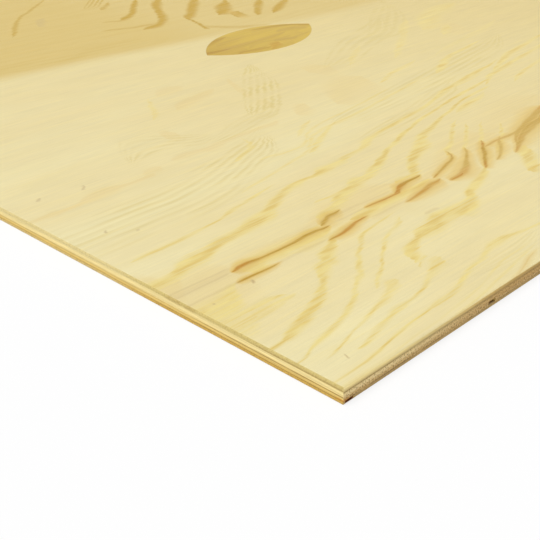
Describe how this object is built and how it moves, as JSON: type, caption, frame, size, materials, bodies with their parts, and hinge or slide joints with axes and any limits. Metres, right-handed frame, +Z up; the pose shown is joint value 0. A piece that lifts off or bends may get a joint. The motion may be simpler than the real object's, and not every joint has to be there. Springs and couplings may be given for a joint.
{
  "type": "plywood sheet",
  "caption": "Flat sanded softwood plywood sheet with long-grain face and back, crosswise core veneers and a boat patch let into the face.",
  "frame": {"origin": "middle of the sheet's underside", "axes": "+X along the sheet's length and the face grain, +Y across its width, +Z up out of the face"},
  "size_m": [2.438, 1.219, 0.0119],
  "materials": {
    "face_veneer": "sanded pale yellow pine with golden growth rings, bare",
    "boat_patch": "sanded golden brown pine with darker streaks, bare",
    "upper_core": "sawn cream pine, grain across the sheet",
    "lower_core": "sawn tan pine, grain across the sheet",
    "back_veneer": "rough-sanded tan pine, bare"
  },
  "bodies": {
    "root": {"face_veneer": "face_veneer", "boat_patch": "boat_patch", "core_veneer_upper": "upper_core", "core_veneer_lower_end": "lower_core", "core_veneer_lower_main": "lower_core", "back_veneer": "back_veneer"}
  },
  "joints": []
}
